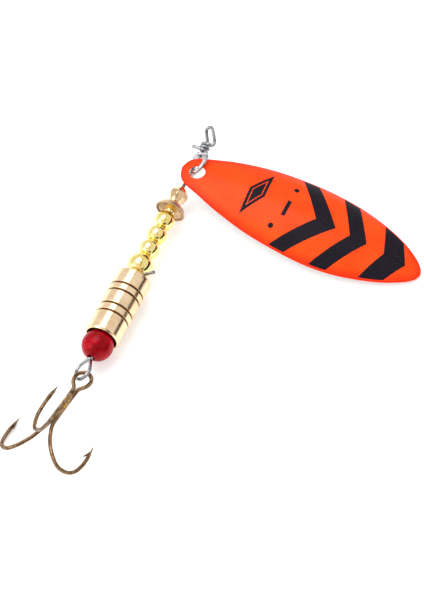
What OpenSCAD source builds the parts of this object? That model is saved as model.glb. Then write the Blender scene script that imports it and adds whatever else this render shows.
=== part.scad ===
// Inline spinner: a wire shaft threaded through beads and a turned body, with a cupped blade
// on a clevis and a treble hook on the lower loop. Millimetres, +Z up.
// The origin is the centre of the line-tie eye, and +X points along the shaft towards it.
// The lure lies on its side as on a table: shaft level, blade out to -Y, hook trailing to -X.

/* [Wire] */
// Diameter of the shaft wire
wire_d = 0.7; // [0.6:0.05:0.75]
// Radial running clearance of every part on the wire
wire_play = 0.06; // [0.04:0.01:0.09]

/* [Blade] */
// Length of the blade
blade_len = 50.5; // [46:0.5:54]
// Greatest width of the blade
blade_w = 17; // [15:0.5:19]
// Thickness of the blade
blade_t = 0.7; // [0.5:0.05:0.8]
// Height of the blade's crown over its rim
blade_crown = 3; // [2:0.25:4]
// Diameter of the blade's hole
blade_hole_d = 3.1; // [3:0.1:3.4]

/* [Clevis] */
// Diameter of the clevis bow
bow_d = 0.85; // [0.7:0.05:0.95]
// Distance between the clevis ears
ear_gap = 5; // [4.8:0.1:5.2]
// Reach of the bow from the shaft axis
bow_reach = 3.2; // [3:0.1:3.4]

/* [Beads] */
// Diameter of the small beads
small_bead_d = 4; // [3.6:0.1:4.2]
// Diameter of the large bead
large_bead_d = 5.1; // [4.8:0.1:5.4]
// Diameter of the faceted bead across its corners
faceted_bead_d = 3.8; // [3.4:0.1:4]
// Rim diameter of the cup
cup_d = 6; // [5:0.1:6.4]

/* [Body] */
// Diameter of the turned body
body_d = 7.1; // [7:0.1:7.6]
// Length of the turned body
body_len = 14.95; // [14.5:0.05:15]
// Diameter of the red bead
red_bead_d = 6.2; // [5.8:0.1:6.4]

/* [Treble] */
// Diameter of the hook wire
hook_d = 0.8; // [0.6:0.05:0.85]
// Slant of the treble across the shaft line, in degrees
hook_yaw = -5; // [-7:1:-3]
// Rise of the treble towards its bends, in degrees
hook_pitch = 6.5; // [4:0.5:8]

/* [Hidden] */

$fn = 64;
TUBE_SIDES = 10;
FACET_COUNT = 8;
CUT = 0.5;

wire_r = wire_d / 2;
bore_r = wire_r + wire_play;
hook_r = hook_d / 2;
bow_r = bow_d / 2;

// Stations along the shaft, as X of each part's upper end or centre
CORE_TOP_X = -1.2;
COIL_TOP_X = -1.55;
CLEVIS_X = -6.55;
FACETED_TOP_X = -12.4;
FACETED_LEN = 3.8;
CUP_TOP_X = -16.3;
CUP_DEPTH = 1.9;
CUP_WALL = 0.3;
COLLAR_R = 1.1;
COLLAR_LEN = 2.0;
SMALL_TOP_X = -18.77;
SMALL_LEN = 3.45;
SMALL_PITCH = 3.53;
LARGE_TOP_X = -29.37;
LARGE_LEN = 4.6;
BODY_TOP_X = -34.9;
RED_X = -51.6;
CORE_END_X = -54.9;

// Wire strands: the return leg lies beside the core, on the side STRAND_ROLL about the shaft
COIL_TURNS = 2;
COIL_R = 0.72;
COIL_PLAY = 0.04;
EYE_ROLL = 35;
STRAND_ROLL = 45;
STRAND_GAP = 0.72;
PAIR_OFFSET = STRAND_GAP / 2;
pair_bore_r = PAIR_OFFSET + bore_r;
TUBE_SHRINK = 0.005;

// Clevis
CLEVIS_ROLL = 52;
BOW_SQUARENESS = 0.8;
EAR_T = 0.5;
EAR_R = 0.85;
TONGUE_LEN = 2.5;
TONGUE_W = 1.1;

// Blade: place of its hole, and the lie of the blade about it
HOLE_FROM_TIP = 3.2;
HOLE_POS = [-8.75, -1.5, 1.6];
BLADE_YAW = -91;
BLADE_PITCH = 5.4;
BLADE_STEPS = 4;

// Body grooves, as fractions of the body's length from its upper end
GROOVES = [0.25, 0.36, 0.58, 0.70];
GROOVE_W = 0.3;
GROOVE_DEPTH = 0.25;
CHAMFER = 0.35;
RECESS_R = 3.1;
RECESS_DEPTH = 1.7;
RED_FLAT = 3.0;

// Treble
HOOK_EYE_POS = [-60, -1.05, 0.65];
SHANK_Y = 0.41;
SHANK_R = 0.5;
SPREAD_R = 2.3;
SINGLE_Z = 0.72;
LEFT_ANGLE = -36;
RIGHT_ANGLE = 204;
POINT_R = 0.04;
POINT_RINGS = 5;
BRAZE_R = 0.5;

// Route of the line-tie eye in its own plane: X, then distance from the shaft axis
EYE_ROUTE = [[-1.6, 0], [-1.3, 0], [-1, 0], [-0.45, -0.2], [0.5, -0.85], [1.5, -1.5],
             [2.4, -1.95], [2.95, -1.85], [3.08, -1.35], [2.75, -0.75], [1.95, -0.05],
             [1, 0.65], [0, 1.35], [-0.7, 1.78], [-1.15, 1.92], [-1.5, 1.8], [-1.62, 1.5],
             [-1.56, 1.2]];
// Where the eye's second leg turns into the coil
KNUCKLE = [-1.53, -0.56, 0.76];
// Route of the hook loop in its own plane: X, then distance from the shaft axis
LOOP_ROUTE = [[-54.5, 0], [-54.9, 0], [-55.4, -0.75], [-56.3, -1.85], [-57.6, -2.05],
              [-58.9, -1.4], [-59.75, -0.35], [-60.05, 0.4], [-60.05, 0.9], [-59.85, 1.4],
              [-59.2, 2.05], [-58, 2.15], [-56.6, 1.45], [-55.6, 0.85], [-54.9, 0.72],
              [-54.5, 0.72]];
// Straight end of the hook loop, which the treble swings on
LOOP_END_X = -60.05;
LOOP_END_R = 0.65;
LOOP_END_LEN = 0.5;
// Route of the cut end of the return leg over the top of the body
TAG_ROUTE = [[-35.6, 0.72], [-35.1, 0.72], [-34.75, 0.76], [-34.46, 1.08], [-34.4, 1.7],
             [-34.4, 5.9]];
// Route of one hook: distance from the eye along the treble, then from its axis
HOOK_ROUTE = [[10, 0.5], [13, 0.75], [16.1, 2.3], [18.3, 4.6], [19.1, 6.6],
              [18.3, 8.6], [16.2, 9.5], [13.4, 9.6], [10.2, 9.2]];
BARB_ROUTE = [[11.3, 9.3], [12.2, 9.0], [13.1, 8.6]];
// Half outline of the blade: distance from its tip, then half width as a share of the greatest
BLADE_OUTLINE = [[0, 0], [0.012, 0.22], [0.04, 0.365], [0.1, 0.5], [0.2, 0.71], [0.34, 0.905],
                 [0.5, 0.997], [0.63, 0.985], [0.75, 0.865], [0.87, 0.63], [0.95, 0.37],
                 [0.988, 0.17], [1, 0]];

// ---- vectors, smooth curves and round tubes ----

function unit(v) = v / norm(v);

// A point at X and distance r from the shaft axis, on the side given by the roll
function rolled(p, roll) = [p[0], -p[1] * cos(roll), p[1] * sin(roll)];

// One span of a smooth curve through four points
function span(a, b, c, d, t) =
    0.5 * (2 * b + (c - a) * t + (2 * a - 5 * b + 4 * c - d) * t * t
           + (3 * b - a - 3 * c + d) * t * t * t);

// A smooth curve through all the points, with a number of steps in each span
function smooth(p, steps) = concat(
    [for (i = [0 : len(p) - 2]) for (k = [0 : steps - 1])
        span(p[max(i - 1, 0)], p[i], p[i + 1], p[min(i + 2, len(p) - 1)], k / steps)],
    [p[len(p) - 1]]);

function tangents(p) =
    [for (i = [0 : len(p) - 1]) unit(p[min(i + 1, len(p) - 1)] - p[max(i - 1, 0)])];

function square_to(n, t) = unit(n - (n * t) * t);

// Side directions carried along the route without twist
function carried(t, first) =
    [for (i = 0, n = square_to(first, t[0]); i < len(t);
          i = i + 1, n = i < len(t) ? square_to(n, t[i]) : n) n];

// A round tube along a route, with its own radius at each point
module tube(route, radii, side_ref, sides = TUBE_SIDES) {
    t = tangents(route);
    n = carried(t, side_ref);
    last = (len(route) - 1) * sides;
    rings = [for (i = [0 : len(route) - 1]) for (k = [0 : sides - 1])
        route[i] + radii[i] * (cos(360 * k / sides) * n[i]
                               + sin(360 * k / sides) * cross(t[i], n[i]))];
    walls = [for (i = [0 : len(route) - 2]) for (k = [0 : sides - 1])
        [i * sides + k, (i + 1) * sides + k, (i + 1) * sides + (k + 1) % sides,
         i * sides + (k + 1) % sides]];
    start = [for (k = [0 : sides - 1]) k];
    end = [for (k = [sides - 1 : -1 : 0]) last + k];
    polyhedron(points = rings, faces = concat([start, end], walls), convexity = 6);
}

module even_tube(route, r, side_ref, sides = TUBE_SIDES) {
    tube(route, [for (p = route) r], side_ref, sides);
}

// A cylinder along X from one station to another
module rod(x_from, x_to, r) {
    translate([x_from, 0, 0])
        rotate([0, 90, 0])
            cylinder(h = x_to - x_from, r = r);
}

// Moves a part to the centre line of the two strands inside the body
module on_pair_axis() {
    translate(rolled([0, PAIR_OFFSET], STRAND_ROLL))
        children();
}

// Turns a profile, drawn as radius and X, about the shaft axis
module turned() {
    rotate([0, 90, 0])
        rotate_extrude()
            children();
}

// ---- the wire ----

function coil_point(a) =
    [COIL_TOP_X - (wire_d + COIL_PLAY) * (a - 90) / 360, -COIL_R * cos(a), COIL_R * sin(a)];

module line_tie() {
    eye = [for (p = smooth(EYE_ROUTE, 4)) rolled(p, EYE_ROLL)];
    coil = [for (a = [75 : 15 : 90 + 360 * COIL_TURNS]) coil_point(a)];
    tail_x = coil_point(90 + 360 * COIL_TURNS)[0];
    tail = [[tail_x - 0.05, 0.7, COIL_R], [tail_x - 0.15, 2.1, COIL_R]];
    even_tube(concat(eye, [KNUCKLE], coil, tail), wire_r - TUBE_SHRINK, [0, 1, 1]);
}

module loop_end() {
    translate([LOOP_END_X, 0, 0])
        rotate([90 - STRAND_ROLL, 0, 0])
            translate([0, 0, LOOP_END_R])
                cylinder(h = LOOP_END_LEN, r = wire_r, center = true);
}

module shaft_wire() {
    color("lightgray") {
        loop_end();
        rod(CORE_END_X, CORE_TOP_X, wire_r);
        translate(rolled([0, STRAND_GAP], STRAND_ROLL))
            rod(CORE_END_X, BODY_TOP_X - 0.2, wire_r);
        line_tie();
        even_tube([for (p = smooth(LOOP_ROUTE, 3)) rolled(p, STRAND_ROLL)],
                  wire_r - TUBE_SHRINK, [0, 1, 1]);
        even_tube([for (p = smooth(TAG_ROUTE, 3)) rolled(p, STRAND_ROLL)],
                  wire_r - TUBE_SHRINK, [0, 1, 1]);
    }
}

// ---- clevis and blade ----

function bow_point(a) =
    rolled([CLEVIS_X - ear_gap / 2 * sign(cos(a)) * pow(abs(cos(a)), BOW_SQUARENESS),
            bow_reach * pow(sin(a), BOW_SQUARENESS)], CLEVIS_ROLL);

module ear(x, tongue) {
    difference() {
        union() {
            rod(x - EAR_T / 2, x + EAR_T / 2, EAR_R);
            rotate([-CLEVIS_ROLL, 0, 0])
                translate([x - EAR_T / 2, 0, -TONGUE_W / 2])
                    cube([EAR_T, tongue, TONGUE_W]);
        }
        rod(x - EAR_T, x + EAR_T, bore_r);
    }
}

module clevis() {
    color("silver") {
        even_tube([for (a = [8 : 8.2 : 172]) bow_point(a)], bow_r, [0, 1, 1]);
        ear(CLEVIS_X + ear_gap / 2, TONGUE_LEN);
        ear(CLEVIS_X - ear_gap / 2, EAR_R);
    }
}

// Radius of the arc that rises by the crown over a chord
function arc_r(chord) = (chord * chord / 4 + blade_crown * blade_crown) / (2 * blade_crown);

// Height of the middle of the sheet at the hole, over the level of the rim
function hole_z() =
    let (r = arc_r(blade_len), run = blade_len / 2 - HOLE_FROM_TIP)
    blade_crown - r + sqrt(r * r - run * run) - blade_t / 2;

// Surface that the blade is pressed to: an arc turned about an axis under the blade
module spindle(inset) {
    across_r = arc_r(blade_w);
    along_r = arc_r(blade_len);
    translate([blade_len / 2, 0, blade_crown - across_r])
        rotate([0, 90, 0])
            rotate_extrude($fn = 128)
                intersection() {
                    translate([across_r - along_r, 0])
                        circle(r = along_r - inset, $fn = 256);
                    translate([0, -blade_len])
                        square([2 * across_r, 2 * blade_len]);
                }
}

module blade_outline() {
    upper = smooth(BLADE_OUTLINE, BLADE_STEPS);
    lower = [for (i = [len(upper) - 2 : -1 : 1]) [upper[i][0], -upper[i][1]]];
    polygon([for (p = concat(upper, lower)) [p[0] * blade_len, p[1] * blade_w / 2]]);
}

// The blade with its tip at the origin, pointing along +X, its rim near Z 0
module flat_lying_blade() {
    slope = asin((blade_len / 2 - HOLE_FROM_TIP) / arc_r(blade_len));
    difference() {
        intersection() {
            difference() {
                spindle(0);
                spindle(blade_t);
            }
            translate([0, 0, -blade_crown])
                linear_extrude(3 * blade_crown)
                    blade_outline();
        }
        translate([HOLE_FROM_TIP, 0, hole_z()])
            rotate([0, -slope, 0])
                cylinder(h = 6 * blade_t, d = blade_hole_d, center = true);
    }
}

module blade() {
    color("orangered")
        translate(HOLE_POS)
            rotate([0, 0, BLADE_YAW])
                rotate([0, BLADE_PITCH, 0])
                    translate([-HOLE_FROM_TIP, 0, -hole_z()])
                        flat_lying_blade();
}

// ---- beads, cup and body ----

module faceted_bead() {
    r = faceted_bead_d / 2;
    end_r = 0.5 * r;
    waist = 0.2 * FACETED_LEN;
    taper = (FACETED_LEN - waist) / 2;
    color("darkgoldenrod")
        difference() {
            translate([FACETED_TOP_X, 0, 0])
                rotate([0, -90, 0]) {
                    cylinder(h = taper, r1 = end_r, r2 = r, $fn = FACET_COUNT);
                    translate([0, 0, taper])
                        cylinder(h = waist, r = r, $fn = FACET_COUNT);
                    translate([0, 0, taper + waist])
                        cylinder(h = taper, r1 = r, r2 = end_r, $fn = FACET_COUNT);
                }
            rod(FACETED_TOP_X - FACETED_LEN - CUT, FACETED_TOP_X + CUT, bore_r);
        }
}

// A shallow bell, open towards the beads; profile as radius and X
module cup() {
    rim_x = CUP_TOP_X - CUP_DEPTH;
    rim_r = cup_d / 2;
    color("khaki")
        turned()
            polygon([[bore_r, CUP_TOP_X], [1.1, CUP_TOP_X], [0.62 * rim_r, CUP_TOP_X - 0.35],
                     [0.85 * rim_r, CUP_TOP_X - 0.95], [rim_r, rim_x + CUP_WALL],
                     [rim_r, rim_x], [rim_r - CUP_WALL, rim_x],
                     [0.85 * rim_r - CUP_WALL, CUP_TOP_X - 1.05],
                     [0.62 * rim_r - CUP_WALL, CUP_TOP_X - 0.35 - CUP_WALL],
                     [COLLAR_R, CUP_TOP_X - CUP_WALL], [bore_r, CUP_TOP_X - CUP_WALL]]);
}

module cup_collar() {
    top_x = CUP_TOP_X - CUP_WALL - 0.05;
    color("gold")
        difference() {
            rod(top_x - COLLAR_LEN, top_x, COLLAR_R);
            rod(top_x - COLLAR_LEN - CUT, top_x + CUT, bore_r);
        }
}

// A round bead with flat ends, by its upper end
module bead(top_x, length, d) {
    turned()
        translate([0, top_x - length / 2])
            intersection() {
                circle(d = d);
                translate([bore_r, -length / 2])
                    square([d, length]);
            }
}

module small_bead(i) {
    color("gold")
        bead(SMALL_TOP_X - SMALL_PITCH * i, SMALL_LEN, small_bead_d);
}

module large_bead() {
    color("gold")
        bead(LARGE_TOP_X, LARGE_LEN, large_bead_d);
}

module brass_body() {
    r = body_d / 2;
    end_x = BODY_TOP_X - body_len;
    color("burlywood")
        on_pair_axis()
            turned()
                difference() {
                    polygon([[pair_bore_r, BODY_TOP_X], [r - CHAMFER, BODY_TOP_X],
                             [r, BODY_TOP_X - CHAMFER], [r, end_x + CHAMFER],
                             [r - CHAMFER, end_x], [RECESS_R, end_x],
                             [RECESS_R, end_x + RECESS_DEPTH],
                             [pair_bore_r, end_x + RECESS_DEPTH]]);
                    for (share = GROOVES)
                        translate([r - GROOVE_DEPTH, BODY_TOP_X - share * body_len - GROOVE_W / 2])
                            square([2 * GROOVE_DEPTH, GROOVE_W]);
                }
}

module red_bead() {
    color("crimson")
        on_pair_axis()
            turned()
                translate([0, RED_X])
                    intersection() {
                        circle(d = red_bead_d);
                        translate([pair_bore_r, -RED_FLAT])
                            square([red_bead_d, 2 * RED_FLAT]);
                    }
}

// ---- treble hook ----

// Puts the treble in place: its eye at the origin, its shanks along -X
module on_treble() {
    translate(HOOK_EYE_POS)
        rotate([0, 0, hook_yaw])
            rotate([0, hook_pitch, 0])
                children();
}

// A route point on the side given by its angle from +Y, about a shank at y and z
function hook_point(p, angle, y, z) =
    let (near_shank = min(max((SPREAD_R - p[1]) / (SPREAD_R - SHANK_R), 0), 1),
         r = p[1] - SHANK_R * near_shank)
    [-p[0], near_shank * y + cos(angle) * r, near_shank * z + sin(angle) * r];

function hook_side(angle, y, z) = [for (p = smooth(HOOK_ROUTE, 4)) hook_point(p, angle, y, z)];

// Full radius along the wire, then a taper to the point
function point_radii(count, r) =
    [for (i = [0 : count - 1]) i < count - POINT_RINGS ? r
        : r + (POINT_R - r) * (i - count + POINT_RINGS + 1) / POINT_RINGS];

function reversed(v) = [for (i = [len(v) - 1 : -1 : 0]) v[i]];

module barb(angle) {
    route = [for (p = BARB_ROUTE) hook_point(p, angle, 0, 0)];
    tube(route, [0.05, 0.22, 0.03], [1, 0, 0], 6);
}

// One wire bent to two hooks and the eye between them
module hook_pair() {
    left = hook_side(LEFT_ANGLE, SHANK_Y, 0);
    right = hook_side(RIGHT_ANGLE, -SHANK_Y, 0);
    half_eye = smooth([[-10, SHANK_Y], [-3.6, SHANK_Y], [-2.4, 0.62], [-1.3, 1.35], [0, 1.65],
                       [1.1, 1.25], [1.7, 0.45]], 2);
    near = [for (i = [1 : len(half_eye) - 1]) [half_eye[i][0], half_eye[i][1], 0]];
    far = [for (p = reversed(near)) [p[0], -p[1], 0]];
    route = concat(reversed(left), near, far, right);
    ends = point_radii(len(left), hook_r);
    color("peru")
        on_treble() {
            tube(route, concat(reversed(ends), [for (p = near) hook_r], [for (p = far) hook_r], ends),
                 [0, 0, 1]);
            barb(LEFT_ANGLE);
            barb(RIGHT_ANGLE);
        }
}

module hook_single() {
    side = hook_side(90, 0, SINGLE_Z);
    route = concat([[-4.6, 0, SINGLE_Z]], side);
    color("peru")
        on_treble() {
            tube(route, concat([hook_r], point_radii(len(side), hook_r)), [0, 1, 0]);
            barb(90);
        }
}

// Solder that joins the three shanks
module hook_braze() {
    color("gold")
        on_treble()
            translate([-9.6, 0, 0.26])
                rotate([0, 90, 0])
                    cylinder(h = 4.6, r = BRAZE_R);
}

shaft_wire();
clevis();
blade();
faceted_bead();
cup();
cup_collar();
small_bead(0);  // small_bead_1
small_bead(1);  // small_bead_2
small_bead(2);  // small_bead_3
large_bead();
brass_body();
red_bead();
hook_pair();
hook_single();
hook_braze();
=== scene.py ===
"""Looks of an inline spinner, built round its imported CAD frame.

Lengths are in millimetres until a mesh is made, and in metres in Blender. +X runs along the shaft
to the line tie, +Z is up, and the origin is the centre of the line-tie eye.
"""
import math

import bmesh
import bpy
import numpy as np
from mathutils import Euler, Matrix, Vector


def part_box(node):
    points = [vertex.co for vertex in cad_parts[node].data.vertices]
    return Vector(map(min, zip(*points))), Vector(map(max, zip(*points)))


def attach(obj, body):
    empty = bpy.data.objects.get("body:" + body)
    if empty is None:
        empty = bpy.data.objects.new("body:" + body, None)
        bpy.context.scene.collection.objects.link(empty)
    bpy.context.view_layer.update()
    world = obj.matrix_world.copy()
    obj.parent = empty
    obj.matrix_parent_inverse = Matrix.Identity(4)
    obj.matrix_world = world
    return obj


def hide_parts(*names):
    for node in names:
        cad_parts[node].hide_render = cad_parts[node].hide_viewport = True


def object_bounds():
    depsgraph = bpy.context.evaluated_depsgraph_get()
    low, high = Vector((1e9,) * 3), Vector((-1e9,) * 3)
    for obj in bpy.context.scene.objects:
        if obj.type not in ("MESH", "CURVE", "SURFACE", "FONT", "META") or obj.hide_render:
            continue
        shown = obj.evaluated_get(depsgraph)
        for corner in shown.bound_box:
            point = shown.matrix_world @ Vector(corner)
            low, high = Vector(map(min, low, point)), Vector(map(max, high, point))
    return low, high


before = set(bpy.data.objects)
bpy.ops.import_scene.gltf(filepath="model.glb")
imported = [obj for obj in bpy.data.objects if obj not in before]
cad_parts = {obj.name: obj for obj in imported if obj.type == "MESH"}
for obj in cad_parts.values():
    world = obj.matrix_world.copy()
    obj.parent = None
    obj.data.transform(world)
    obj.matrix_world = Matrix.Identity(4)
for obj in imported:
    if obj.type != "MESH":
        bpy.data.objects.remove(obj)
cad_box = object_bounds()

MM = 0.001
TAU = 2 * math.pi


def node_box(node):
    """Low and high corner of a CAD node, in millimetres."""
    low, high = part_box(node)
    return low / MM, high / MM


# ---- driving sizes ----

# Wire and its bends; a roll is the side of the shaft that a bend lies on, in degrees
WIRE_R = 0.35
BORE_R = 0.41
STRAND_ROLL = 45
STRAND_GAP = 0.72
EYE_ROLL = 35
COIL_R = 0.72
COIL_PITCH = 0.74
COIL_TOP_X = -1.55
COIL_END_TURN = 810

# Clevis
CLEVIS_ROLL = 52
CLEVIS_X = -6.55
EAR_GAP = 5
EAR_T = 0.5
EAR_R = 0.85
TONGUE_LEN = 2.5
TONGUE_W = 1.1
BOW_REACH = 3.2
BOW_R = 0.425
BOW_SQUARENESS = 0.8

# Blade: its sheet, its hole, and its lie about the hole
BLADE_LEN = 50.5
BLADE_W = 17
BLADE_T = 0.7
BLADE_CROWN = 3
HOLE_R = 1.55
HOLE_FROM_TIP = 3.2
HOLE_POS = Vector((-8.75, -1.5, 1.6))
BLADE_TURN = (0, math.radians(5.4), math.radians(-91))
HOLE_ROUND = 0.12
HOLE_IN_PLAN = Vector((HOLE_FROM_TIP, 0))
FACE_RINGS = 30
RIM_STEPS = 12

# Cup, body and red bead
PAIR_BORE_R = STRAND_GAP / 2 + BORE_R
CUP_WALL = 0.3
CHAMFER = 0.35
RECESS_R = 3.1
RECESS_DEPTH = 1.7
# Grooves, as shares of the body's length from its upper end
GROOVES = (0.25, 0.36, 0.58, 0.70)
GROOVE_W = 0.5
GROOVE_DEPTH = 0.3

# Treble: the sides of its hooks are angles from +Y, in degrees
HOOK_R = 0.4
HOOK_EYE_POS = Vector((-60, -1.05, 0.65))
HOOK_TURN = (0, math.radians(6.5), math.radians(-5))
SHANK_Y = 0.41
SHANK_R = 0.5
SPREAD_R = 2.3
SINGLE_Z = 0.72
LEFT_ANGLE = -36
RIGHT_ANGLE = 204
UP_ANGLE = 90
SPEAR_LEN = 4.6

# Routes in the plane of each bend: X, then distance from the shaft axis
EYE_ROUTE = [(-1.6, 0), (-1.3, 0), (-1, 0), (-0.45, -0.2), (0.5, -0.85), (1.5, -1.5),
             (2.4, -1.95), (2.95, -1.85), (3.08, -1.35), (2.75, -0.75), (1.95, -0.05), (1, 0.65),
             (0, 1.35), (-0.7, 1.78), (-1.15, 1.92), (-1.5, 1.8), (-1.62, 1.5), (-1.56, 1.2)]
KNUCKLE = Vector((-1.53, -0.56, 0.76))
LOOP_ROUTE = [(-54.5, 0), (-54.9, 0), (-55.4, -0.75), (-56.3, -1.85), (-57.6, -2.05),
              (-58.9, -1.4), (-59.75, -0.35), (-60.05, 0.4), (-60.05, 0.9), (-59.85, 1.4),
              (-59.2, 2.05), (-58, 2.15), (-56.6, 1.45), (-55.6, 0.85), (-54.9, 0.72),
              (-54.5, 0.72)]
TAG_ROUTE = [(-35.6, 0.72), (-35.1, 0.72), (-34.75, 0.76), (-34.46, 1.08), (-34.4, 1.7),
             (-34.4, 5.9)]
# One hook: distance from the eye along the treble, then from its axis
HOOK_ROUTE = [(10, 0.5), (13, 0.75), (16.1, 2.3), (18.3, 4.6), (19.1, 6.6), (18.3, 8.6),
              (16.2, 9.5), (13.4, 9.6), (10.2, 9.2)]
BARB_ROUTE = [(11.9, 9.4), (12.8, 9.08), (13.7, 8.62)]
HALF_HOOK_EYE = [(-10, 0.41), (-3.6, 0.41), (-2.4, 0.62), (-1.3, 1.35), (0, 1.65), (1.1, 1.25),
                 (1.7, 0.45)]
# Half outline of the blade: share of its length from the tip, share of its half width
BLADE_OUTLINE = [(0, 0), (0.012, 0.22), (0.04, 0.365), (0.1, 0.5), (0.2, 0.71), (0.34, 0.905),
                 (0.5, 0.997), (0.63, 0.985), (0.75, 0.865), (0.87, 0.63), (0.95, 0.37),
                 (0.988, 0.17), (1, 0)]

# Chevrons on the blade: apex of the near and far edge, and how far each edge falls back
# for each millimetre from the centre line
CHEVRONS = [(28.1, 0.76, 32.3, 0.86), (35.3, 0.58, 38.9, 0.62), (42.6, 0.38, 47.2, 0.52)]
DOTS = [(22.1, 4.3), (20.9, -4.9)]
DOT_R = 0.52
BAR_POS = (22.1, -0.5)
BAR_HALF = (0.4, 1.75)
MARK_POS = (15.6, 0.3)
MARK_HALF = (1.75, 5.6)
MARK_LEAN = math.radians(-13)
PAINT_MARGIN = 0.3

# Floor, in metres
FLOOR_HALF = 3.0
FLOOR_GAP = 0.0001

# Camera: as steep as the photograph, from behind the hook, in metres
CAMERA_ELEVATION = math.radians(57)
CAMERA_HEADING = math.radians(24.5)
CAMERA_DISTANCE = 3.0
VIEW_HEIGHT = 0.114
AIM_OFFSET = Vector((5.12, 4.31, -4.0)) * MM


# ---- curves ----

def span(a, b, c, d, t):
    """One span of a smooth curve through four points."""
    return 0.5 * (2 * b + (c - a) * t + (2 * a - 5 * b + 4 * c - d) * t * t
                  + (3 * b - a - 3 * c + d) * t ** 3)


def smooth(points, steps):
    """A smooth curve through all the points."""
    points = [Vector(p) for p in points]
    last = len(points) - 1
    curve = []
    for i in range(last):
        around = [points[max(i - 1, 0)], points[i], points[i + 1], points[min(i + 2, last)]]
        curve += [span(*around, k / steps) for k in range(steps)]
    return curve + [points[last]]


def rolled(p, roll):
    """A point at X and distance r from the shaft axis, on the side given by the roll."""
    angle = math.radians(roll)
    return Vector((p[0], -p[1] * math.cos(angle), p[1] * math.sin(angle)))


def tangents(route):
    """Unit direction of the route at each point."""
    last = len(route) - 1
    return [(route[min(i + 1, last)] - route[max(i - 1, 0)]).normalized()
            for i in range(last + 1)]


def lengths(route):
    """Distance along the route at each point."""
    total = [0.0]
    for a, b in zip(route, route[1:]):
        total.append(total[-1] + (b - a).length)
    return total


# ---- parts: (vertices, faces, uvs per face corner) ----

def loft(rings, closed=False, v=None):
    """Skin over rings with the same number of points; closed joins the last to the first."""
    count = len(rings[0])
    v = v or [i / 10 for i in range(len(rings))]
    faces, uvs = [], []
    for i in range(len(rings) if closed else len(rings) - 1):
        j = (i + 1) % len(rings)
        for k in range(count):
            m = (k + 1) % count
            faces.append((i * count + k, j * count + k, j * count + m, i * count + m))
            uvs += [(k / count, v[i]), (k / count, v[j]),
                    ((k + 1) / count, v[j]), ((k + 1) / count, v[i])]
    if not closed:
        for ring, height in ((0, v[0]), (len(rings) - 1, v[-1])):
            faces.append(tuple(ring * count + k for k in range(count)))
            uvs += [(0.5, height)] * count
    return [p for ring in rings for p in ring], faces, uvs


def merged(*parts):
    """Several parts as one."""
    verts, faces, uvs = [], [], []
    for part in parts:
        base = len(verts)
        verts += part[0]
        faces += [tuple(base + i for i in face) for face in part[1]]
        uvs += part[2]
    return verts, faces, uvs


def moved(part, place):
    """The part with every vertex put through a placing function."""
    return [place(p) for p in part[0]], part[1], part[2]


def sweep(route, radii, side, sides=20):
    """A tube along a route; radii are half widths along and across the carried side."""
    n = Vector(side)
    rings = []
    for p, t, (a, b) in zip(route, tangents(route), radii):
        n = (n - n.dot(t) * t).normalized()
        other = t.cross(n)
        rings.append([p + a * math.cos(TAU * k / sides) * n + b * math.sin(TAU * k / sides) * other
                      for k in range(sides)])
    return loft(rings, v=[s / 10 for s in lengths(route)])


def cut_ends(route, radii, bevel=0.08):
    """The route and radii with a small chamfer at both cut ends."""
    def end(p, q, size):
        step = (q - p).normalized() * bevel
        sizes = [tuple(share * s for s in size) for share in (0.72, 0.93, 1)]
        return [p, p + 0.35 * step, p + step], sizes
    first, first_sizes = end(route[0], route[1], radii[0])
    final, final_sizes = end(route[-1], route[-2], radii[-1])
    return (first + route[1:-1] + final[::-1],
            first_sizes + radii[1:-1] + final_sizes[::-1])


def filleted(profile, radius, steps=5):
    """A closed profile with each sharp corner rounded, and a holding point by each arc."""
    count = len(profile)
    result = []
    for i, corner in enumerate(profile):
        before = profile[i - 1] - corner
        after = profile[(i + 1) % count] - corner
        turn = math.pi - before.angle(after)
        reach = min(radius, 0.4 * before.length, 0.4 * after.length)
        if turn < math.radians(22):
            result.append(corner)
            continue
        a = corner + before.normalized() * reach
        b = corner + after.normalized() * reach
        result.append(a + before.normalized() * 0.1 * reach)
        for k in range(steps + 1):
            t = k / steps
            result.append((1 - t) ** 2 * a + 2 * t * (1 - t) * corner + t ** 2 * b)
        result.append(b + after.normalized() * 0.1 * reach)
    return result


def turned(profile, radius=0.08, axis=(0, 0), sides=96):
    """A profile of (X, distance from the axis) turned about an axis along X at (y, z)."""
    profile = filleted([Vector(p) for p in profile], radius)
    rings = [[Vector((p.x, axis[0] + p.y * math.cos(TAU * k / sides),
                      axis[1] + p.y * math.sin(TAU * k / sides))) for k in range(sides)]
             for p in profile]
    return loft(rings, closed=True, v=[s / 10 for s in lengths(profile)])


def arc(centre_x, r, start, end, steps):
    """Points (X, distance) of a round bead's outline between two stations along X."""
    a0, a1 = math.acos((start - centre_x) / r), math.acos((end - centre_x) / r)
    angles = [a0 + (a1 - a0) * k / steps for k in range(steps + 1)]
    return [(centre_x + r * math.cos(a), r * math.sin(a)) for a in angles]


def piece(name, part, body, node, material, sharp=38):
    """Makes the object, puts it under its body with its finish, and hides the CAD node that it
    stands for.
    """
    verts, faces, uvs = part
    mesh = bpy.data.meshes.new(name)
    mesh.from_pydata([tuple(MM * c for c in p) for p in verts], [], faces)
    layer = mesh.uv_layers.new(name="UVMap")
    layer.data.foreach_set("uv", [c for uv in uvs for c in uv])
    bm = bmesh.new()
    bm.from_mesh(mesh)
    bmesh.ops.recalc_face_normals(bm, faces=bm.faces)
    bm.to_mesh(mesh)
    bm.free()
    mesh.shade_smooth()
    mesh.set_sharp_from_angle(angle=math.radians(sharp))
    mesh.materials.append(material)
    obj = bpy.data.objects.new(name, mesh)
    bpy.context.scene.collection.objects.link(obj)
    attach(obj, body)
    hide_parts(node)
    return obj


# ---- materials ----

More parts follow.
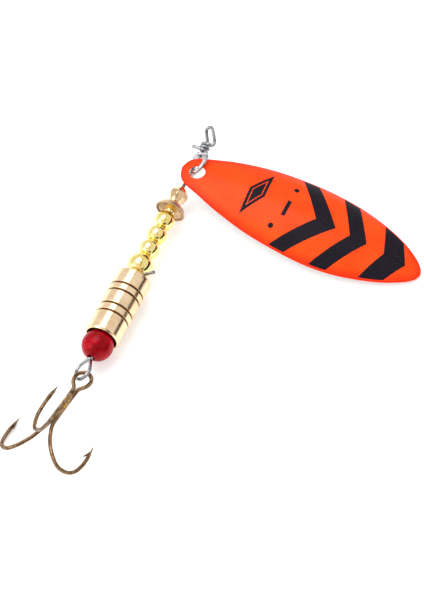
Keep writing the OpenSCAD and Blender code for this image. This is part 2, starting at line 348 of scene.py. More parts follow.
class Nodes:
    """Short names for the node graph of one material."""

    def __init__(self, name):
        self.material = bpy.data.materials.new(name)
        self.material.use_nodes = True
        self.tree = self.material.node_tree
        self.shader = self.tree.nodes["Principled BSDF"]
        coords = self.tree.nodes.new("ShaderNodeTexCoord")
        self.place = coords.outputs["Object"]
        self.uv = coords.outputs["UV"]

    def put(self, socket, value):
        """Links a socket to another, or sets its value."""
        if isinstance(value, bpy.types.NodeSocket):
            self.tree.links.new(value, socket)
        else:
            socket.default_value = value

    def add(self, kind, inputs=None, **settings):
        """A new node, with its settings and inputs."""
        node = self.tree.nodes.new(kind)
        for key, value in settings.items():
            setattr(node, key, value)
        for key, value in (inputs or {}).items():
            self.put(node.inputs[key], value)
        return node

    def math(self, operation, a, b=0.0):
        return self.add("ShaderNodeMath", {0: a, 1: b}, operation=operation).outputs[0]

    def stretched(self, vector, scale):
        return self.add("ShaderNodeMapping", {"Vector": vector, "Scale": scale}).outputs[0]

    def noise(self, vector, scale, detail=4.0, roughness=0.55):
        inputs = {"Vector": vector, "Scale": scale, "Detail": detail, "Roughness": roughness}
        return self.add("ShaderNodeTexNoise", inputs).outputs["Fac"]

    def ramp(self, value, *stops):
        """Colours by position; each stop is (position, (r, g, b))."""
        node = self.add("ShaderNodeValToRGB", {"Fac": value})
        elements = node.color_ramp.elements
        while len(elements) < len(stops):
            elements.new(0.5)
        for element, (position, colour) in zip(elements, stops):
            element.position = position
            element.color = (*colour, 1)
        return node.outputs["Color"]

    def spread(self, value, low, high, start=0.3, end=0.7):
        """Maps a texture's range onto low..high."""
        inputs = {"Value": value, "From Min": start, "From Max": end,
                  "To Min": low, "To Max": high}
        return self.add("ShaderNodeMapRange", inputs).outputs["Result"]

    def mix(self, factor, a, b):
        node = self.add("ShaderNodeMix", data_type="RGBA")
        self.put(node.inputs["Factor"], factor)
        self.put(node.inputs[6], a)
        self.put(node.inputs[7], b)
        return node.outputs[2]

    def bump(self, height, distance, strength=1.0, under=None):
        inputs = {"Height": height, "Distance": distance, "Strength": strength}
        if under is not None:
            inputs["Normal"] = under
        return self.add("ShaderNodeBump", inputs).outputs["Normal"]

    def finish(self, **inputs):
        """Sets the shader's inputs and gives back the material."""
        for key, value in inputs.items():
            self.put(self.shader.inputs[key.replace("_", " ")], value)
        return self.material


def turned_metal(name, dark, light, rough, ring_scale, ring_depth, groove_shade=None):
    """Lathe-turned metal: fine rings round the shaft axis, soft stains and pin-prick scratches.

    The last argument says where the metal is painted dark brown as shade, in its grooves and
    recess:
    the place of the axis in (y, z), the radius that it lies under, and the two stations along X
    that it lies between.
    """
    n = Nodes(name)
    rings = n.noise(n.stretched(n.place, (ring_scale, 40, 40)), 1.0, 3.0, 0.7)
    stain = n.noise(n.place, 420, 5.0)
    marks = n.noise(n.stretched(n.place, (300, 900, 900)), 1.0, 6.0, 0.65)
    shade = n.math("ADD", n.math("MULTIPLY", stain, 0.65), n.math("MULTIPLY", rings, 0.35))
    colour = n.ramp(shade, (0.36, dark), (0.56, light))
    rough = n.spread(marks, rough * 0.8, rough * 1.25)
    if groove_shade:
        # painted shade: the metal turns dark brown, and rougher, in the grooves and recess
        deep = radius_below(n, *groove_shade)
        colour = n.mix(deep, colour, (0.16, 0.075, 0.025, 1))
        rough = n.math("ADD", rough, n.math("MULTIPLY", deep, 0.25))
    return n.finish(Base_Color=colour, Metallic=1.0, Roughness=rough,
                    Normal=n.bump(rings, ring_depth * MM, 0.5))


def radius_below(n, axis, r, start, end):
    """Rises to 1 nearer than r to an axis along X at (y, z), between two stations."""
    place = n.add("ShaderNodeSeparateXYZ", {0: n.place})
    dy = n.math("SUBTRACT", place.outputs["Y"], axis[0] * MM)
    dz = n.math("SUBTRACT", place.outputs["Z"], axis[1] * MM)
    square = n.math("ADD", n.math("MULTIPLY", dy, dy), n.math("MULTIPLY", dz, dz))
    deep = n.spread(n.math("SQRT", square), 0.0, 1.0, r * MM, (r - 0.16) * MM)
    past = n.math("GREATER_THAN", place.outputs["X"], start * MM)
    before = n.math("LESS_THAN", place.outputs["X"], end * MM)
    return n.math("MULTIPLY", deep, n.math("MULTIPLY", past, before))


def plated_metal(name, dark, light, rough):
    """Bright plated bead: smooth, with faint dents and slight tarnish."""
    n = Nodes(name)
    tarnish = n.noise(n.place, 650, 4.0)
    dents = n.noise(n.place, 1500, 2.0)
    return n.finish(Base_Color=n.ramp(tarnish, (0.35, dark), (0.6, light)), Metallic=1.0,
                    Roughness=n.spread(tarnish, rough * 1.4, rough * 0.8),
                    Normal=n.bump(dents, 0.012 * MM, 0.6))


def drawn_wire(name, dark, light, rough):
    """Drawn steel: die lines along the wire, and darker marks scattered over it."""
    n = Nodes(name)
    lines = n.noise(n.stretched(n.uv, (26, 3, 1)), 1.0, 4.0, 0.6)
    marks = n.noise(n.place, 700, 3.0)
    shade = n.math("ADD", n.math("MULTIPLY", lines, 0.45), n.math("MULTIPLY", marks, 0.55))
    return n.finish(Base_Color=n.ramp(shade, (0.38, dark), (0.58, light)), Metallic=1.0,
                    Roughness=n.spread(marks, rough * 1.3, rough * 0.7),
                    Normal=n.bump(lines, 0.01 * MM, 0.7))


def hook_bronze():
    """Bronzed hook wire: brown film worn through to tan, with dark streaks along the wire."""
    n = Nodes("hook_bronze")
    streaks = n.noise(n.stretched(n.uv, (5, 4.5, 1)), 1.0, 5.0, 0.65)
    wear = n.noise(n.place, 900, 6.0, 0.7)
    shade = n.math("ADD", n.math("MULTIPLY", streaks, 0.6), n.math("MULTIPLY", wear, 0.4))
    colour = n.ramp(shade, (0.38, (0.03, 0.014, 0.008)), (0.47, (0.17, 0.095, 0.045)),
                    (0.55, (0.34, 0.22, 0.12)), (0.68, (0.5, 0.38, 0.25)))
    return n.finish(Base_Color=colour, Metallic=0.9, Roughness=n.spread(wear, 0.26, 0.46),
                    Normal=n.bump(wear, 0.02 * MM, 0.7))


def braze_metal():
    """Rough golden solder with scale."""
    n = Nodes("braze")
    lumps = n.noise(n.place, 1300, 6.0, 0.7)
    colour = n.ramp(lumps, (0.38, (0.16, 0.08, 0.03)), (0.5, (0.5, 0.28, 0.08)),
                    (0.62, (0.85, 0.52, 0.16)))
    return n.finish(Base_Color=colour, Metallic=0.85, Roughness=n.spread(lumps, 0.5, 0.3),
                    Normal=n.bump(lumps, 0.06 * MM, 0.9))


def red_gloss():
    """Moulded translucent red bead with faint flow marks."""
    n = Nodes("red_bead")
    flow = n.noise(n.stretched(n.place, (260, 420, 420)), 1.0, 3.0)
    specks = n.noise(n.place, 2600, 2.0)
    colour = n.ramp(flow, (0.35, (0.21, 0.0, 0.002)), (0.62, (0.42, 0.0, 0.009)))
    return n.finish(Base_Color=colour, Roughness=n.spread(specks, 0.16, 0.26), IOR=1.5,
                    Specular_IOR_Level=0.1, Coat_Weight=0.03, Coat_Roughness=0.05,
                    Subsurface_Weight=0.3, Subsurface_Radius=(1.0, 0.06, 0.06),
                    Subsurface_Scale=1.0 * MM, Sheen_Weight=0.2, Sheen_Roughness=0.4,
                    Sheen_Tint=(1, 0, 0.12, 1),
                    Normal=n.bump(flow, 0.01 * MM, 0.6))


def chevron_mask(n, x, away):
    """1 inside any of the three chevrons."""
    mask = 0.0
    for near, near_fall, far, far_fall in CHEVRONS:
        past_near = n.math("GREATER_THAN", n.math("ADD", x, n.math("MULTIPLY", away, near_fall)),
                           near)
        before_far = n.math("LESS_THAN", n.math("ADD", x, n.math("MULTIPLY", away, far_fall)),
                            far)
        mask = n.math("ADD", mask, n.math("MULTIPLY", past_near, before_far))
    return mask


def round_dot(n, x, y, centre, r):
    """1 inside a disc."""
    dx, dy = n.math("SUBTRACT", x, centre[0]), n.math("SUBTRACT", y, centre[1])
    square = n.math("ADD", n.math("MULTIPLY", dx, dx), n.math("MULTIPLY", dy, dy))
    return n.math("LESS_THAN", square, r * r)


def bar(n, x, y, centre, half):
    """1 inside an upright rectangle, given by its half sides."""
    across = n.math("LESS_THAN", n.math("ABSOLUTE", n.math("SUBTRACT", x, centre[0])), half[0])
    along = n.math("LESS_THAN", n.math("ABSOLUTE", n.math("SUBTRACT", y, centre[1])), half[1])
    return n.math("MULTIPLY", across, along)


def lozenge_mark(n, x, y):
    """A plain lozenge with a fine line left open inside it."""
    c, s = math.cos(MARK_LEAN), math.sin(MARK_LEAN)
    dx, dy = n.math("SUBTRACT", x, MARK_POS[0]), n.math("SUBTRACT", y, MARK_POS[1])
    p = n.math("ADD", n.math("MULTIPLY", dx, c), n.math("MULTIPLY", dy, s))
    q = n.math("SUBTRACT", n.math("MULTIPLY", dy, c), n.math("MULTIPLY", dx, s))
    size = n.math("ADD", n.math("DIVIDE", n.math("ABSOLUTE", p), MARK_HALF[0]),
                  n.math("DIVIDE", n.math("ABSOLUTE", q), MARK_HALF[1]))
    line = n.math("LESS_THAN", n.math("ABSOLUTE", n.math("SUBTRACT", size, 0.6)), 0.045)
    return n.math("SUBTRACT", n.math("LESS_THAN", size, 1.0), line)


def blade_paint():
    """Fluorescent paint with black print on the crown side, bare bright metal behind."""
    n = Nodes("blade_paint")
    plan = n.add("ShaderNodeSeparateXYZ", {0: n.add("ShaderNodeUVMap", uv_map="UVMap").outputs[0]})
    lie = n.add("ShaderNodeSeparateXYZ", {0: n.add("ShaderNodeUVMap", uv_map="lie").outputs[0]})
    grain = n.noise(n.place, 5200, 3.0, 0.6)
    ragged = n.spread(grain, -0.05, 0.05)
    x = n.math("ADD", n.math("MULTIPLY", plan.outputs["X"], BLADE_LEN), ragged)
    y = n.math("MULTIPLY", n.math("SUBTRACT", plan.outputs["Y"], 0.5), BLADE_LEN)
    rim = n.math("MULTIPLY", lie.outputs["X"], 10.0)
    ink = chevron_mask(n, x, n.math("ABSOLUTE", y))
    ink = n.math("MULTIPLY", ink, n.math("GREATER_THAN", rim, PAINT_MARGIN))
    for centre in DOTS:
        ink = n.math("ADD", ink, round_dot(n, x, y, centre, DOT_R))
    ink = n.math("ADD", ink, bar(n, x, y, BAR_POS, BAR_HALF))
    ink = n.math("ADD", ink, lozenge_mark(n, x, y))
    ink = n.math("MINIMUM", ink, 1.0)

    cloud = n.noise(n.place, 160, 4.0)
    orange = n.ramp(cloud, (0.35, (0.93, 0.052, 0.004)), (0.65, (0.98, 0.074, 0.007)))
    # painted shade: the orange deepens to a darker red within about 1.6 mm of the rim
    orange = n.mix(n.spread(rim, 0.8, 0.0, 0.1, 1.6), orange, (0.88, 0.02, 0.003, 1))
    speck = n.math("GREATER_THAN", grain, 0.66)
    black = n.mix(speck, (0.008, 0.006, 0.011, 1), (0.06, 0.055, 0.07, 1))
    paint = n.mix(ink, orange, black)
    scratches = n.noise(n.stretched(n.place, (2600, 260, 900)), 1.0, 4.0)
    metal = n.ramp(scratches, (0.35, (0.5, 0.5, 0.49)), (0.6, (0.74, 0.74, 0.72)))
    front = lie.outputs["Y"]
    orange_peel = n.noise(n.place, 900, 2.0)
    normal = n.bump(orange_peel, 0.018 * MM, 0.5)
    normal = n.bump(n.math("ADD", ink, n.math("MULTIPLY", grain, 0.35)), 0.012 * MM, 0.6, normal)
    # painted glow: the unprinted orange of the crown side emits a little light of its own
    glow = n.mix(n.math("MULTIPLY", front, n.math("SUBTRACT", 1.0, ink)), (0, 0, 0, 1), orange)
    paint_rough = n.math("ADD", 0.28, n.math("MULTIPLY", ink, n.spread(grain, 0.1, 0.3)))
    metal_rough = n.spread(scratches, 0.2, 0.34)
    inverse = n.math("SUBTRACT", 1.0, front)
    rough = n.math("ADD", n.math("MULTIPLY", front, paint_rough),
                   n.math("MULTIPLY", inverse, metal_rough))
    return n.finish(Base_Color=n.mix(front, metal, paint), Metallic=inverse, Roughness=rough,
                    Specular_IOR_Level=0.1, Normal=normal,
                    Emission_Color=glow, Emission_Strength=0.1)


# ---- wire and clevis ----

def shaft_wire(material):
    """One wire: cut end, return leg, hook loop, core, line-tie eye and its closing coil."""
    tag = [rolled(p, STRAND_ROLL) for p in smooth(TAG_ROUTE, 8)][::-1]
    loop = [rolled(p, STRAND_ROLL) for p in smooth(LOOP_ROUTE, 8)][::-1]
    eye = [rolled(p, EYE_ROLL) for p in smooth(EYE_ROUTE, 8)]
    coil = []
    for a in range(75, COIL_END_TURN + 1, 10):
        angle = math.radians(a)
        coil.append(Vector((COIL_TOP_X - COIL_PITCH * (a - 90) / 360,
                            -COIL_R * math.cos(angle), COIL_R * math.sin(angle))))
    tail_x = coil[-1].x
    tail = [Vector((tail_x - 0.05, 0.7, COIL_R)), Vector((tail_x - 0.15, 2.1, COIL_R))]
    turn_in = smooth([eye[-9], eye[-1], KNUCKLE, coil[0], coil[1]], 6)[6:18]
    route = tag + loop + eye[:-1] + turn_in + coil + tail
    route, radii = cut_ends(route, [(WIRE_R, WIRE_R)] * len(route))
    part = sweep(route, radii, (0, 1, 1))
    return piece("shaft_wire_look", part, "shaft", "shaft_wire", material)


def bow_point(a):
    """A point of the clevis bow, by its angle from the upper ear."""
    c, s = math.cos(a), math.sin(a)
    x = CLEVIS_X - EAR_GAP / 2 * math.copysign(abs(c) ** BOW_SQUARENESS, c)
    return rolled((x, BOW_REACH * s ** BOW_SQUARENESS), CLEVIS_ROLL)


def ear(x, reach):
    """A pierced ear round the shaft, drawn out to a tongue on the side away from the bow."""
    sides = 72
    edge = []
    for k in range(sides):
        a = TAU * k / sides
        out = EAR_R
        if math.cos(a) > 0.05 and reach > EAR_R:
            out = max(out, min(reach / math.cos(a), TONGUE_W / 2 / max(abs(math.sin(a)), 1e-6)))
        edge.append(out)
    for _ in range(2):
        edge = [(edge[k - 1] + edge[k] + edge[(k + 1) % sides]) / 3 for k in range(sides)]
    half, f = EAR_T / 2, 0.1
    profile = [(0, f - half), (f, -half), (-f, -half), (0, f - half), (0, half - f), (-f, half),
               (f, half), (0, half - f)]
    rings = []
    for i, (inset, dx) in enumerate(profile):
        outer = i in (2, 3, 4, 5)
        rings.append([rolled((x + dx, (edge[k] if outer else BORE_R) + inset),
                             CLEVIS_ROLL + 180 + 360 * k / sides) for k in range(sides)])
    return loft(rings, closed=True)


def clevis(material):
    """The folded clevis: a bow through the blade's hole, flattened into its two ears."""
    start, end, steps = math.radians(8), math.radians(172), 60
    route = [bow_point(start + (end - start) * k / steps) for k in range(steps + 1)]
    plane = rolled((0, 1), CLEVIS_ROLL + 90)
    radii = []
    for k in range(steps + 1):
        flat = max(0.0, 1 - min(k, steps - k) / 13) ** 1.5
        radii.append((BOW_R + 0.17 * flat, BOW_R - 0.15 * flat))
    route, radii = cut_ends(route, radii)
    part = merged(sweep(route, radii, plane), ear(CLEVIS_X + EAR_GAP / 2, TONGUE_LEN),
                  ear(CLEVIS_X - EAR_GAP / 2, EAR_R))
    return piece("clevis_look", part, "clevis", "clevis", material)


# ---- blade ----

def arc_r(chord):
    """Radius of the arc that rises by the crown over a chord."""
    return (chord ** 2 / 4 + BLADE_CROWN ** 2) / (2 * BLADE_CROWN)


def crown_height(x, y, inset):
    """Height of the pressed sheet's face, inset under its crown side."""
    across, along = arc_r(BLADE_W), arc_r(BLADE_LEN)
    reach = across - along + math.sqrt((along - inset) ** 2 - (x - BLADE_LEN / 2) ** 2)
    return BLADE_CROWN - across + math.sqrt(max(reach ** 2 - y ** 2, 0))


def blade_outline(steps):
    """The blade's outline in plan, with its tip at the origin."""
    upper = smooth(BLADE_OUTLINE, steps)
    lower = [Vector((p.x, -p.y)) for p in upper[-2:0:-1]]
    return [Vector((p.x * BLADE_LEN, p.y * BLADE_W / 2)) for p in upper + lower]


def blade_face(inner, rays, inset, front):
    """Rings of one face of the sheet, from the hole's edge out to the rim."""
    found = []
    for i in range(FACE_RINGS + 1):
        share = (i / FACE_RINGS) ** 1.15
        ring = []
        for p, ray in zip(inner, rays):
            q = (HOLE_IN_PLAN + ray * (HOLE_R + HOLE_ROUND)).lerp(p, share)
            ring.append((q, crown_height(q.x, q.y, inset), front))
        found.append(ring)
    return found


def blade_rim(inner, outward):
    """Rings of the rounded rim, from the crown side to the back."""
    half = BLADE_T / 2
    found = []
    for i in range(1, RIM_STEPS):
        a = math.pi / 2 - math.pi * i / RIM_STEPS
        ring = []
        for p, out in zip(inner, outward):
            middle = (crown_height(p.x, p.y, 0) + crown_height(p.x, p.y, BLADE_T)) / 2
            ring.append((p + out * half * math.cos(a), middle + half * math.sin(a), 1))
        found.append(ring)
    return found


def hole_wall(rays):
    """Rings down the hole, from the back to the crown side, set in from both faces."""
    found = []
    for drop in (BLADE_T - HOLE_ROUND, BLADE_T / 2, HOLE_ROUND):
        ring = []
        for ray in rays:
            q = HOLE_IN_PLAN + ray * HOLE_R
            ring.append((q, crown_height(q.x, q.y, 0) - drop, 1))
        found.append(ring)
    return found


def blade_rings():
    """Plan position, height and crown side (1) or back (0) of each ring, from the hole out."""
    edge = blade_outline(12)
    count = len(edge)
    outward = []
    for k in range(count):
        along = edge[(k + 1) % count] - edge[k - 1]
        outward.append(Vector((-along.y, along.x)).normalized())
    inner = [edge[k] - outward[k] * BLADE_T / 2 for k in range(count)]
    rays = [(p - HOLE_IN_PLAN).normalized() for p in inner]
    return (blade_face(inner, rays, 0, 1) + blade_rim(inner, outward)
            + blade_face(inner, rays, BLADE_T, 0)[::-1] + hole_wall(rays))


def blade(material):
    """The cupped blade, with its plan and its lie stored for the paint."""
    rings = blade_rings()
    slope_run = BLADE_LEN / 2 - HOLE_FROM_TIP
    along = arc_r(BLADE_LEN)
    hole_z = BLADE_CROWN - along + math.sqrt(along ** 2 - slope_run ** 2) - BLADE_T / 2
    turn = Euler(BLADE_TURN).to_matrix()
    edge = np.array([tuple(p) for p in blade_outline(60)])
    solid, plan, lie = [], [], []
    for ring in rings:
        solid.append([HOLE_POS + turn @ Vector((q.x - HOLE_FROM_TIP, q.y, z - hole_z))
                      for q, z, _ in ring])
        for q, _, front in ring:
            gap = np.hypot(edge[:, 0] - q.x, edge[:, 1] - q.y).min()
            plan.append((q.x / BLADE_LEN, q.y / BLADE_LEN + 0.5))
            lie.append((gap / 10, front))
    verts, faces, _ = loft(solid, closed=True)
    corners = [i for face in faces for i in face]
    obj = piece("blade_look", (verts, faces, [plan[i] for i in corners]), "blade", "blade",
                material, 60)
    layer = obj.data.uv_layers.new(name="lie")
    for loop in obj.data.loops:
        layer.data[loop.index].uv = lie[loop.vertex_index]
    return obj


# ---- beads, cup and body ----

def round_bead(node, body, material, bore=BORE_R, axis=(0, 0)):
    """A round bead with flat, softly broken ends."""
    low, high = node_box(node)
    r = (high.y - low.y) / 2
    centre = (low.x + high.x) / 2
    outline = arc(centre, r, high.x, low.x, 48)
    profile = [(high.x, bore)] + outline + [(low.x, bore)]
    return piece(node + "_look", turned(profile, 0.07, axis), body, node, material)


def faceted_bead(material):
    """Eight crisp facets on each slope and round the waist."""
    low, high = node_box("faceted_bead")
    r, length = high.y, high.x - low.x
    taper, facets, edge = 0.4 * length, 8, 0.05
    bore = BORE_R / math.cos(math.pi / facets)
    stations = [(high.x, bore), (high.x, 0.5 * r - 0.06), (high.x - 0.06, 0.5 * r),
                (high.x - taper + 0.04, r - 0.02), (high.x - taper - 0.04, r),
                (low.x + taper + 0.04, r), (low.x + taper - 0.04, r - 0.02),
                (low.x + 0.06, 0.5 * r), (low.x, 0.5 * r - 0.06), (low.x, bore)]
    rings = []
    for x, size in stations:
        ring = []
        for k in range(facets):
            a = TAU * k / facets
            lean = math.pi / facets
            corner = Vector((x, size * math.cos(a), size * math.sin(a)))
            for side in (-1, 0, 1):
                flat = a + side * (math.pi / 2 + lean)
                step = Vector((0, math.cos(flat), math.sin(flat))) * edge * abs(side)
                pull = corner * (0.0 if side else -0.3 * edge / size)
                ring.append(corner + step + Vector((0, pull.y, pull.z)))
        rings.append(ring)
    return piece("faceted_bead_look", loft(rings, closed=True), "faceted_bead", "faceted_bead",
                 material, 20)


def cup(material):
    """A thin pressed bell, open towards the beads, with a rolled rim."""
    low, high = node_box("cup")
    rim_r, top = high.y, high.x
    outer = smooth([(top, 0.9), (top - 0.12, 1.35), (top - 0.45, 2.0), (top - 1.0, 2.6),
                    (top - 1.6, 2.93), (low.x + 0.1, rim_r)], 6)
    inner = smooth([(low.x + 0.05, rim_r - CUP_WALL), (top - 1.5, 2.62), (top - 1.15, 2.3),
                    (top - 0.75, 1.7), (top - CUP_WALL - 0.08, 1.25), (top - CUP_WALL, 0.9)], 6)
    profile = [(top, BORE_R)] + outer + [(low.x, rim_r - 0.5 * CUP_WALL)] + inner
    profile += [(top - CUP_WALL, BORE_R)]
    return piece("cup_look", turned(profile, 0.07), "cup", "cup", material, 50)


def cup_collar(material):
    """A short ring with stepped ends, inside the cup."""
    low, high = node_box("cup_collar")
    r = high.y
    step = 0.35
    profile = [(high.x, BORE_R), (high.x, r - 0.15), (high.x - step, r), (low.x + step, r),
               (low.x, r - 0.15), (low.x, BORE_R)]
    return piece("cup_collar_look", turned(profile, 0.1), "cup_collar", "cup_collar",
                 material)


def body_profile(low_x, high_x, r):
    """Turned body: chamfered ends, four grooves, and a recess for the red bead."""
    profile = [(high_x, PAIR_BORE_R), (high_x, r - CHAMFER), (high_x - CHAMFER, r)]
    for share in GROOVES:
        x = high_x - share * (high_x - low_x)
        profile += [(x + GROOVE_W / 2, r), (x + GROOVE_W / 4, r - GROOVE_DEPTH),
                    (x - GROOVE_W / 4, r - GROOVE_DEPTH), (x - GROOVE_W / 2, r)]
    profile += [(low_x + CHAMFER, r), (low_x, r - CHAMFER), (low_x, RECESS_R),
                (low_x + RECESS_DEPTH, RECESS_R), (low_x + RECESS_DEPTH, PAIR_BORE_R)]
    return profile


def brass_body():
    """The turned body, painted dark brown as shade in its grooves and recess."""
    low, high = node_box("brass_body")
    axis = ((low.y + high.y) / 2, (low.z + high.z) / 2)
    r = (high.y - low.y) / 2
    # the last argument paints dark brown shade into the grooves and recess
    material = turned_metal("body_brass", (0.82, 0.56, 0.33), (0.96, 0.73, 0.47), 0.2, 2200, 0.004,
                            (axis, r - 0.05, low.x + 0.25, high.x - 0.45))
    part = turned(body_profile(low.x, high.x, r), 0.06, axis, 128)
    return piece("brass_body_look", part, "brass_body", "brass_body", material)


def red_bead(material):
    """The bead in the body's recess, bored for both strands of the wire."""
    low, high = node_box("red_bead")
    axis = ((low.y + high.y) / 2, (low.z + high.z) / 2)
    return round_bead("red_bead", "red_bead", material, PAIR_BORE_R, axis)


# ---- treble hook ----

def on_treble(p):
    """A point of the treble, drawn with its eye at the origin and its shanks along -X."""
    return HOOK_EYE_POS + Euler(HOOK_TURN).to_matrix() @ p


def hook_point(p, angle, y, z):
    """A route point on the side given by its angle from +Y, about a shank at y and z."""
    near = min(max((SPREAD_R - p[1]) / (SPREAD_R - SHANK_R), 0), 1)
    r = p[1] - SHANK_R * near
    a = math.radians(angle)
    return Vector((-p[0], near * y + math.cos(a) * r, near * z + math.sin(a) * r))


def hook_side(angle, y, z):
    """The smooth route of one hook, from its shank to its point."""
    return [hook_point(p, angle, y, z) for p in smooth(HOOK_ROUTE, 10)]


def spear(route):
    """Half widths along a hook's wire: full, then flattened by the barb, then to a needle."""
    run = lengths(route)
    sizes = []
    for s in run:
        t = min((run[-1] - s) / SPEAR_LEN, 1.0)
        taper = 0.04 + 0.96 * min(1.0, t / 0.8) ** 0.8
        swell = math.sin(math.pi * t) ** 2
        sizes.append((HOOK_R * taper * (1 + 0.3 * swell), HOOK_R * taper * (1 + 0.1 * swell)))
    return sizes


def barb(angle):
    """The sliver lifted from the inner side of the wire behind the point."""
    a = math.radians(angle)
    plane = Vector((0, -math.sin(a), math.cos(a)))
    route = smooth([hook_point(p, angle, 0, 0) for p in BARB_ROUTE], 6)
    last = len(route) - 1
    radii = [(0.34 * (1 - i / last) + 0.03, 0.26 * (1 - (i / last) ** 2) + 0.02)
             for i in range(last + 1)]
    return sweep(route, radii, plane, 12)


def hook_pair(material):
    """One wire bent to two hooks with the eye between them."""
    left = hook_side(LEFT_ANGLE, SHANK_Y, 0)
    right = hook_side(RIGHT_ANGLE, -SHANK_Y, 0)
    near = [Vector((p.x, p.y, 0)) for p in smooth(HALF_HOOK_EYE, 6)[1:]]
    far = [Vector((p.x, -p.y, 0)) for p in near[::-1]]
    ends = spear(left)
    route = left[::-1] + near + far + right
    radii = ends[::-1] + [(HOOK_R, HOOK_R)] * (len(near) + len(far)) + ends
    part = merged(sweep(route, radii, (0, 0, 1)), barb(LEFT_ANGLE), barb(RIGHT_ANGLE))
    return piece("hook_pair_look", moved(part, on_treble), "treble", "hook_pair",
                 material)


def hook_single(material):
    """The third hook, brazed onto the pair."""
    route = [Vector((-4.6, 0, SINGLE_Z))] + hook_side(UP_ANGLE, 0, SINGLE_Z)
    radii = [(0.7 * HOOK_R, 0.7 * HOOK_R)] + spear(route)[1:]
    part = merged(sweep(route, radii, (0, 1, 0)), barb(UP_ANGLE))
    return piece("hook_single_look", moved(part, on_treble), "treble", "hook_single",
                 material)


def hook_braze(material):
    """Solder run along the three shanks, swelling in the middle."""
    steps = 26
    route, radii = [], []
    for i in range(steps + 1):
        t = i / steps
        route.append(Vector((-4.5 - 5.5 * t, 0.03 * math.sin(7 * t), 0.3 + 0.05 * math.sin(5 * t))))
        swell = math.sin(math.pi * min(max(t, 0.02), 0.98)) ** 0.45
        radii.append((0.18 + 0.46 * swell, 0.16 + (0.4 + 0.03 * math.sin(23 * t)) * swell))
    part = sweep(route, radii, (0, 1, 0), 24)
    return piece("hook_braze_look", moved(part, on_treble), "treble", "hook_braze",
                 material)


# ---- stage ----

def floor():
    """A plain pale floor just under the lure."""
    material = Nodes("floor")
    fibre = material.noise(material.place, 60, 3.0)
    pale = material.ramp(fibre, (0.3, (0.9, 0.9, 0.9)), (0.7, (0.93, 0.93, 0.93)))
    material.finish(Base_Color=pale, Roughness=0.85, Emission_Color=(1, 1, 1, 1),
                    Emission_Strength=0.27)
    half = FLOOR_HALF
    mesh = bpy.data.meshes.new("floor")
    z = cad_box[0][2] - FLOOR_GAP
    mesh.from_pydata([(-half, -half, z), (half, -half, z), (half, half, z), (-half, half, z)], [],
                     [(0, 1, 2, 3)])
    mesh.materials.append(material.material)
    obj = bpy.data.objects.new("floor", mesh)
    bpy.context.scene.collection.objects.link(obj)


def aimed(obj, place, target):
    """Puts a light, card or camera in place, facing the target."""
    obj.location = place
    obj.rotation_euler = (Vector(target) - Vector(place)).to_track_quat("-Z", "Y").to_euler()
    bpy.context.scene.collection.objects.link(obj)


def softbox(name, place, target, size, power):
    """A rectangular area light that the camera doesn't see."""
    data = bpy.data.lights.new(name, "AREA")
    data.shape = "RECTANGLE"
    data.size, data.size_y = size
    data.energy = power
    obj = bpy.data.objects.new(name, data)
    obj.visible_camera = False
    aimed(obj, place, target)


def dark_card(name, place, target, size):
    """A dark card that only the metal sees, for the dark bands in its reflections."""
    material = Nodes(name)
    material.finish(Base_Color=(0.02, 0.015, 0.01, 1), Roughness=1.0)
    mesh = bpy.data.meshes.new(name)
    a, b = size[0] / 2, size[1] / 2
    mesh.from_pydata([(-a, -b, 0), (a, -b, 0), (a, b, 0), (-a, b, 0)], [], [(0, 1, 2, 3)])
    mesh.materials.append(material.material)
    obj = bpy.data.objects.new(name, mesh)
    obj.visible_camera = False
    obj.visible_shadow = False
    obj.visible_diffuse = False
    aimed(obj, place, target)


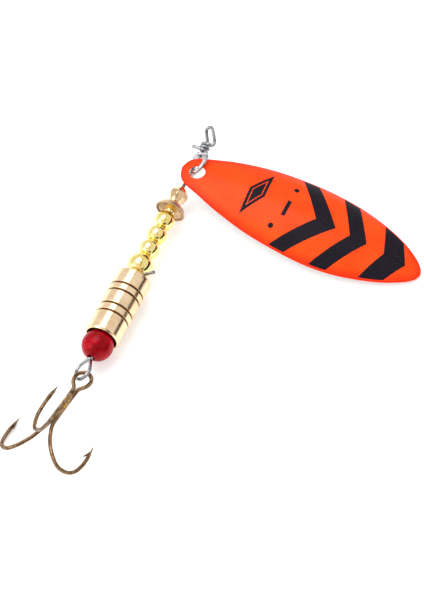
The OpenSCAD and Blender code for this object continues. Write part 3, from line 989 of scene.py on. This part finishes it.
def lights(centre):
    """A white tent with a soft key and fill, and dark cards for the metal to reflect."""
    softbox("key", centre + Vector((0.1, 0.25, 0.7)), centre, (0.7, 0.5), 3.2)
    softbox("fill", centre + Vector((-0.5, 0.5, 0.35)), centre, (0.5, 0.4), 1.2)
    dark_card("card_camera", centre + Vector((-0.41, -0.19, 0.22)), centre, (0.3, 0.17))
    dark_card("card_right", centre + Vector((0.1, -0.7, 0.06)), centre, (1.3, 0.42))
    dark_card("card_far", centre + Vector((0.7, -0.1, 0.1)), centre, (0.5, 0.3))
    dark_card("card_top", centre + Vector((0.02, -0.1, 0.6)), centre, (0.9, 0.05))
    world = bpy.data.worlds.new("studio")
    world.use_nodes = True
    world.node_tree.nodes["Background"].inputs["Color"].default_value = (1, 1, 1, 1)
    world.node_tree.nodes["Background"].inputs["Strength"].default_value = 0.88
    bpy.context.scene.world = world


def camera(centre):
    """Looks down on the lure from behind its hook, as steeply as the photograph does."""
    data = bpy.data.cameras.new("camera")
    data.lens = data.sensor_width * CAMERA_DISTANCE / VIEW_HEIGHT
    data.clip_start = 0.05
    data.clip_end = 50
    level = math.cos(CAMERA_ELEVATION)
    look = Vector((level * math.cos(CAMERA_HEADING), level * math.sin(CAMERA_HEADING),
                   -math.sin(CAMERA_ELEVATION)))
    obj = bpy.data.objects.new("camera", data)
    target = centre + AIM_OFFSET
    aimed(obj, target - look * CAMERA_DISTANCE, target)
    bpy.context.scene.camera = obj


# ---- the lure ----

gold = plated_metal("gold_bead", (0.96, 0.7, 0.2), (1.0, 0.84, 0.38), 0.08)
shaft_wire(drawn_wire("steel_wire", (0.15, 0.15, 0.16), (0.46, 0.465, 0.48), 0.26))
clevis(drawn_wire("clevis_steel", (0.28, 0.28, 0.3), (0.62, 0.62, 0.64), 0.2))
blade(blade_paint())
faceted_bead(turned_metal("faceted_brass", (0.62, 0.38, 0.19), (0.86, 0.62, 0.38), 0.12, 900,
                          0.002))
cup(turned_metal("cup_metal", (0.42, 0.28, 0.16), (0.62, 0.45, 0.29), 0.3, 1400, 0.004))
cup_collar(gold)
for number in (1, 2, 3):
    round_bead(f"small_bead_{number}", f"small_bead_{number}", gold)
round_bead("large_bead", "large_bead", gold)
brass_body()
red_bead(red_gloss())
bronze = hook_bronze()
hook_pair(bronze)
hook_single(bronze)
hook_braze(braze_metal())

middle = (Vector(cad_box[0]) + Vector(cad_box[1])) / 2
floor()
lights(middle)
camera(middle)
bpy.context.scene.view_settings.view_transform = "Standard"
